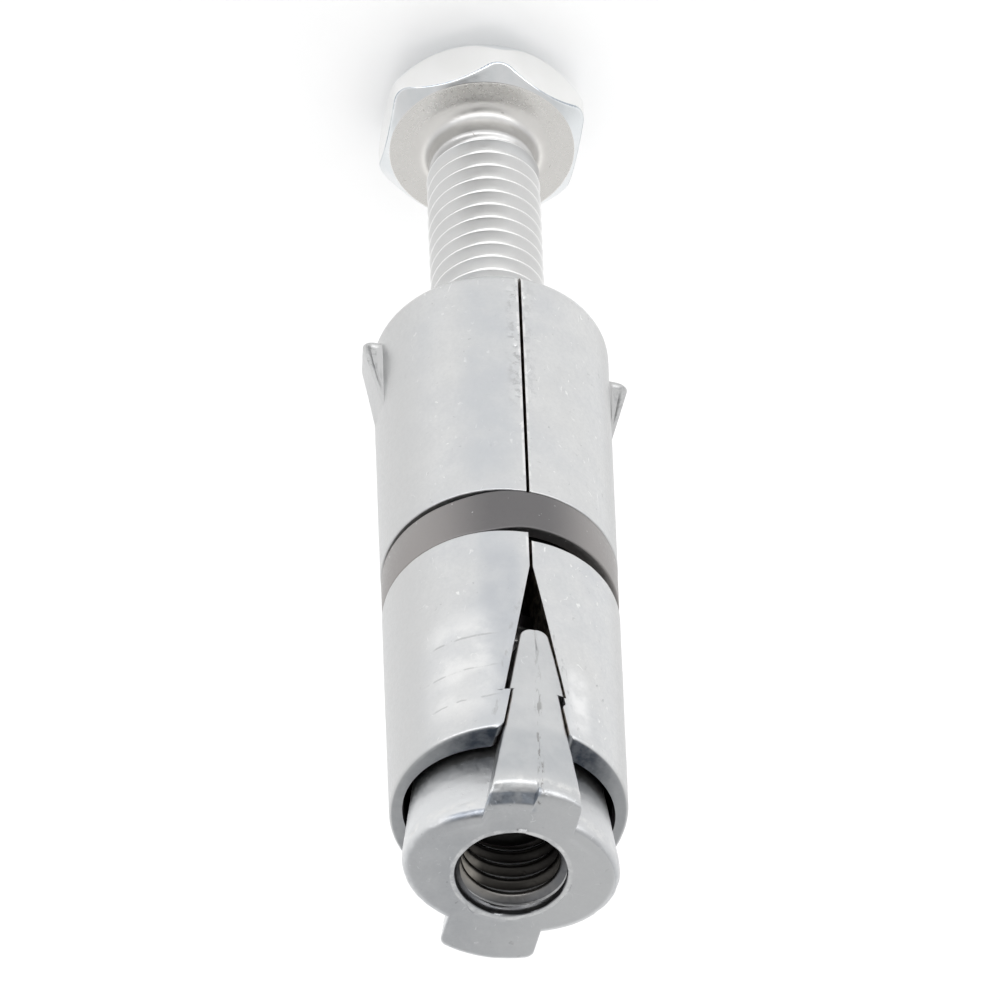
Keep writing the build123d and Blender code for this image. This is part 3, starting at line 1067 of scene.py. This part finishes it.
def paint_shell_ends(n, seam):
    """The end face, painted dark as shade and darkest near the slot, and the hollow painted dark
    as shade.
    """
    face = n.curve(n.depth, SHELL_END - 0.09, SHELL_END - 0.02)
    # Painted shade on the end face, darkest near the slot.
    end_face_shade = n.mix(n.curve(seam, 2.6, 5.4), "face shade by the slot", "face")
    n.paint(end_face_shade, face, n.patches(1.9, 4.0, 0.3, 0.7, 0.8, 1.0))
    # Painted shade in the hollow.
    length = n.between(n.depth, 0.2, SHELL_END - 0.02, 0.05)
    n.paint("inside", n.fall(n.radius, 5.28, 5.34), length)


def paint_slot(n, seam):
    """Torn edges beside the slot and its brown walls."""
    slot = n.times(n.math("MAXIMUM", n.math("SUBTRACT", n.depth, SLOT_APEX), 0.0), SLOT_SLOPE)
    edge = n.math("SUBTRACT", seam, n.math("ADD", slot, SEAM_HALF))
    torn = n.mapped(n.where, (1.5, 1.0, 0.5), (0.0, 0.16, 0.0))
    n.paint(
        "torn", n.between(edge, 0.05, 0.5, 0.12),
        n.between(n.depth, SLOT_APEX + 1.0, SHELL_END - 0.2, 0.8),
        n.patches(2.2, 5.0, 0.55, 0.65, 0.0, 0.6, roughness=0.6, vector=torn),
    )
    below_tooth = n.curve(n.depth, TOOTH_DEPTH[-1] - 0.01, TOOTH_DEPTH[-1] + 0.01)
    wall = n.fall(n.math("ADD", edge, n.times(below_tooth, TOOTH_REACH)), 0.005, 0.03)
    brown = n.mix(n.patches(2.2, 4.0, 0.4, 0.6), "dark wall", "light wall")
    n.paint(brown, wall, n.fall(n.depth, SHELL_END - 0.3, SHELL_END - 0.1))


def shell_metal():
    """Cast zinc with the marks of the mould and of the seam, paler patches, and painted shade on
    the barrel, the end face and the hollow.
    """
    n = Nodes("cast_zinc", SHELL_TINTS)
    cast_skin(n, 0.34)
    seam = n.size(n.across)
    paint_shell_shade(n, seam)
    paint_seam(n, seam)
    paint_pale_patches(n)
    paint_flanks(n, seam)
    paint_shell_ends(n, seam)
    paint_slot(n, seam)
    return n.painted()


def paint_nut_body(n):
    """The sides of the nut, painted lighter than the face as painted light, lighter on the left
    and darker on the right as painted light and shade, and a darker lower end on the near lug.
    """
    # Painted light: the sides lighter than the face.
    side = n.fall(n.depth, NUT_FACE - 0.55, NUT_FACE - 0.15)
    n.paint("side", side, n.patches(0.6, 3.0, 0.3, 0.7, 0.35, 0.9))
    # Painted light on the body's left and painted shade on its right.
    body = n.mix(n.curve(n.across, -1.0, 1.5), "lit left body", "shaded right body")
    n.paint(body, side, n.fall(n.radius, *OFF_LUGS))
    low_lug = n.times(n.between(n.depth, *LOW_LUG_DOWN), n.curve(n.along, *NEAR_LUG))
    n.paint("low lug", low_lug, n.patches(0.8, 4.0, 0.35, 0.6, 0.6, 1.0))


def paint_nut_edges(n):
    """Pale spots with a painted highlight behind the face's edge, the face itself, and painted
    shade on the bevels beside it.
    """
    # Pale spots with a painted highlight behind the face's edge.
    flecks_and_highlight = n.patches(1.5, 6.0, 0.42, 0.66, 0.0, 0.75, roughness=0.65)
    n.paint("fleck_and_highlight", n.between(n.depth, *FLECK_HIGHLIGHT_DOWN), flecks_and_highlight)
    on_face = n.curve(n.depth, NUT_FACE - 0.14, NUT_FACE - 0.1)
    n.paint("right face", on_face, n.curve(n.across, -1.5, 3.5, 0.0, 0.6))
    n.paint(
        "shaded edge", n.between(n.depth, *SHADED_DOWN), n.between(n.across, *SHADED_ACROSS),
        n.curve(n.along, 1.5, 2.6), n.fall(n.radius, *OFF_LUGS),
        n.patches(1.6, 4.0, 0.3, 0.6, 0.5, 0.9),
    )
    # Painted shade on the near lug's front bevel.
    n.paint(
        "bevel", n.between(n.depth, *BEVEL_SHADE_DOWN), n.fall(n.across, 0.0, 0.25),
        n.curve(n.along, 4.3, 4.6), n.patches(1.6, 4.0, 0.3, 0.6, 0.5, 1.0),
    )


def paint_scar(n):
    """The broken dark line of the parting scar along the near lug."""
    streaks = n.mapped(n.where, (1.6, 1.0, 0.42), (0.0, 0.08, 0.0))
    n.paint(
        "scar", n.between(n.across, *SCAR_ACROSS), n.curve(n.along, *NEAR_LUG),
        n.patches(2.4, 5.0, 0.53, 0.59, roughness=0.6, vector=streaks),
        n.curve(n.depth, LUG_START + 1.0, NUT_FACE - 3.0, 0.25, 0.85),
    )


def paint_bore(n):
    """The torn rim of the hole, and its thread and lead painted dark as shade, darkest further in
    and on the right.
    """
    n.paint(
        "burr", n.between(n.radius, NUT_RIM - 0.03, 3.16, 0.09),
        n.patches(1.2, 6.0, 0.36, 0.62, 0.1, 0.8, roughness=0.65),
        n.curve(n.depth, NUT_FACE - 0.3, NUT_FACE - 0.2),
    )
    # Painted shade in the bore: darker further in and to the right.
    deep = n.math("ADD", n.depth, n.times(n.across, -0.55))
    dark = n.fall(deep, NUT_FACE - 4.2, NUT_FACE - 0.9)
    inwards = n.curve(n.depth, NUT_FACE - 1.4, NUT_FACE - 1.1, 0.92, 0.0)
    dark = n.math("MAXIMUM", dark, n.times(n.curve(n.across, -1.6, -0.7), inwards))
    thread = n.mix(dark, n.mix(n.cloud(2.5), "dark thread", "light thread"), "shaded deep thread")
    lead = n.mix(n.cloud(1.1), "dark lead", "light lead")
    thread = n.mix(n.curve(n.depth, NUT_FACE - 1.5, NUT_FACE - 0.9), thread, lead)
    n.paint(thread, n.fall(n.radius, NUT_RIM - 0.06, NUT_RIM - 0.02))


def nut_metal():
    """Duller cast zinc with pale spots and a painted highlight at its edges, a parting scar, a
    torn rim, a tapped bore painted dark as shade, and painted light and shade on its sides.
    """
    n = Nodes("cast_zinc_dull", NUT_TINTS)
    cast_skin(n, 0.33)
    paint_nut_body(n)
    paint_nut_edges(n)
    paint_scar(n)
    paint_bore(n)
    return n.painted()


def paint_head(n, crown):
    """Clear flats and crown, with a painted shade line where the one meets the other."""
    blotch = n.patches(0.5, 3.0, 0.35, 0.65)
    n.colour = n.mix(blotch, "dark flat", "light flat")
    n.paint(n.mix(blotch, "dark crown", "light crown"), crown)
    crown_end = HEAD_TOP + CROWN_HEIGHT
    # Painted shade along the rounded edge between flats and crown.
    n.paint(
        "edge", n.between(crown, 0.05, 0.95, 0.3), n.patches(0.6, 3.0, 0.35, 0.6, 0.35, 0.95),
        n.curve(n.depth, crown_end, crown_end + 0.3, 0.25, 1.0),
    )


def paint_shank(n, grain):
    """The warmer underside, the neck painted darker as shade, the thread, and its stretch inside
    the shell painted darker as shade.
    """
    under = n.between(n.depth, HEAD_UNDER - 0.06, NECK_END + 0.5, 0.05)
    neck = n.between(n.depth, HEAD_UNDER + 0.15, NECK_END + 1.1, 0.3)
    shank = n.curve(n.depth, NECK_END + 0.8, NECK_END + 1.4)
    # The neck's tones below are painted shade.
    for zone, scale, detail, name in (
        (under, 0.9, 3.0, "underside"), (neck, 0.8, 3.0, "neck"), (shank, 1.2, 4.0, "thread"),
    ):
        n.paint(n.mix(n.cloud(scale, detail), "dark " + name, "light " + name), zone)
    n.paint("mark", n.hairlines(0.9, 0.014, 0.62), n.curve(grain, 0.3, 0.6), under)
    # Painted shade on the stretch of thread inside the shell.
    n.paint("shade inside shell", n.curve(n.depth, 0.3, 3.0))


def plated_steel():
    """Bright zinc plating: clear flats, a satin underside and neck, with the neck and the thread
    further in painted darker as shade.
    """
    n = Nodes("zinc_plating", BOLT_TINTS)
    grain = n.cloud(4.0, detail=5.0)
    crown = n.node("Attribute", {}, attribute_name="crown").outputs["Fac"]
    paint_head(n, crown)
    paint_shank(n, grain)
    satin = n.curve(n.depth, HEAD_UNDER - 0.06, HEAD_UNDER + 0.02)
    body = n.times(satin, n.curve(grain, 0.3, 0.7, 0.28, 0.37))
    head = n.times(n.math("SUBTRACT", 1.0, satin), n.curve(crown, 0.0, 1.0, 0.24, 0.10))
    fine = n.bump(grain, 0.12, 0.02)
    n.surface(n.math("ADD", body, head), n.bump(n.cloud(0.7, detail=2.0), 0.2, 0.08, fine))
    return n.painted()


def band_metal():
    """Dark matte strip steel with a painted sheen towards its sides, and pale specks."""
    n = Nodes("strip_steel", BAND_TINTS)
    grain = n.cloud(6.0, detail=5.0)
    n.colour = n.mix(grain, "dark", "light")
    # Painted sheen towards the band's sides, off centre.
    side = n.curve(n.size(n.math("ADD", n.across, 0.5)), 1.2, 4.8)
    n.paint(n.mix(grain, "dark side sheen", "light side sheen"), side)
    n.paint("speck", n.patches(3.1, 2.0, 0.715, 0.745, 0.0, 0.7))
    n.surface(n.curve(grain, 0.3, 0.7, 0.34, 0.46), n.bump(grain, 0.2, 0.02))
    return n.painted()


# Studio


def make_floor():
    """A pale sheet that runs far past the picture."""
    half = FLOOR_HALF
    mesh = bpy.data.meshes.new("floor")
    corners = [(-half, -half, 0), (half, -half, 0), (half, half, 0), (-half, half, 0)]
    mesh.from_pydata(corners, [], [(0, 1, 2, 3)])
    floor = bpy.data.objects.new("floor", mesh)
    bpy.context.scene.collection.objects.link(floor)
    material = bpy.data.materials.new("pale_floor")
    material.use_nodes = True
    shader = material.node_tree.nodes["Principled BSDF"]
    shader.inputs["Base Color"].default_value = FLOOR_COLOUR
    shader.inputs["Roughness"].default_value = FLOOR_ROUGHNESS
    mesh.materials.append(material)


def make_camera():
    """The photo's view: past the nut towards the head, which is at the top of the picture."""
    side = Vector((math.cos(SEAM_TURN), math.sin(SEAM_TURN), 0))
    away = Vector((0, 0, -1))
    up = Vector((-math.sin(SEAM_TURN), math.cos(SEAM_TURN), 0))
    level = side * math.sin(VIEW_TURN) + away * math.cos(VIEW_TURN)
    forward = level * math.cos(VIEW_SLOPE) - up * math.sin(VIEW_SLOPE)
    picture_up = level * math.sin(VIEW_SLOPE) + up * math.cos(VIEW_SLOPE)
    picture_right = forward.cross(picture_up)
    aim_side, aim_depth, aim_up = VIEW_AIM
    aim = (side * aim_side - away * (aim_depth + MOUTH) + up * aim_up) * MM
    data = bpy.data.cameras.new("camera")
    data.lens = LENS
    data.sensor_width = 36.0
    data.clip_end = 10.0
    camera = bpy.data.objects.new("camera", data)
    turned = Matrix((picture_right, picture_up, -forward)).transposed().to_4x4()
    turned.translation = aim - forward * VIEW_DISTANCE
    camera.matrix_world = turned
    bpy.context.scene.collection.objects.link(camera)
    bpy.context.scene.camera = camera


def make_panel(name, direction, distance, width, height, power, mirrored):
    """A soft light that looks at the shield from a direction."""
    data = bpy.data.lights.new(name, "AREA")
    data.shape = "RECTANGLE"
    data.size = width
    data.size_y = height
    data.energy = power
    panel = bpy.data.objects.new(name, data)
    panel.location = Vector(direction).normalized() * distance
    panel.rotation_euler = (-panel.location).to_track_quat("-Z", "Y").to_euler()
    panel.visible_camera = False
    panel.visible_glossy = mirrored
    bpy.context.scene.collection.objects.link(panel)


def make_lights():
    """A room with pale walls and a darker patch, one low panel and a soft light for the floor."""
    world = bpy.data.worlds.new("studio")
    world.use_nodes = True
    tree = world.node_tree

    def vector_math(kind, output, **vectors):
        inputs = dict(enumerate(vectors.values()))
        return add_node(tree, "VectorMath", inputs, operation=kind).outputs[output]

    where = add_node(tree, "TexCoord", {}).outputs["Generated"]
    height = vector_math("DOT_PRODUCT", "Value", vector=where, axis=(0, 0, 1))
    room = soft_turn(tree, height, *WALL_TOP, WALL_LIGHT, ROOM_LIGHT)
    middle = Vector(SHADE_DIRECTION).normalized()
    away = vector_math("SUBTRACT", "Vector", vector=where, middle=middle)
    spread = vector_math("MULTIPLY", "Vector", vector=away, factors=SHADE_SHAPE)
    distance = vector_math("LENGTH", "Value", vector=spread)
    background = tree.nodes["Background"].inputs
    strength = soft_turn(tree, distance, *SHADE_REACH, SHADE_LIGHT, room)
    tree.links.new(strength, background["Strength"])
    background["Color"].default_value = (1, 1, 1, 1)
    bpy.context.scene.world = world
    for name, settings in PANELS.items():
        make_panel(name, *settings)
    bpy.context.scene.view_settings.view_transform = "Standard"


cast_zinc = shell_metal()
make_bolt(plated_steel())
for name, side, body, node in (
    ("left_shell_half", -1, "left_half", "shell_left"),
    ("right_shell_half", 1, "right_half", "shell_right"),
):
    half_shell = make_shell(name, side, cast_zinc)
    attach(half_shell, body)
    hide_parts(node)
strip_steel = band_metal()
make_ring("ring_left_part", -1, strip_steel)
make_ring("ring_right_part", 1, strip_steel)
make_nut(nut_metal())
make_floor()
make_camera()
make_lights()
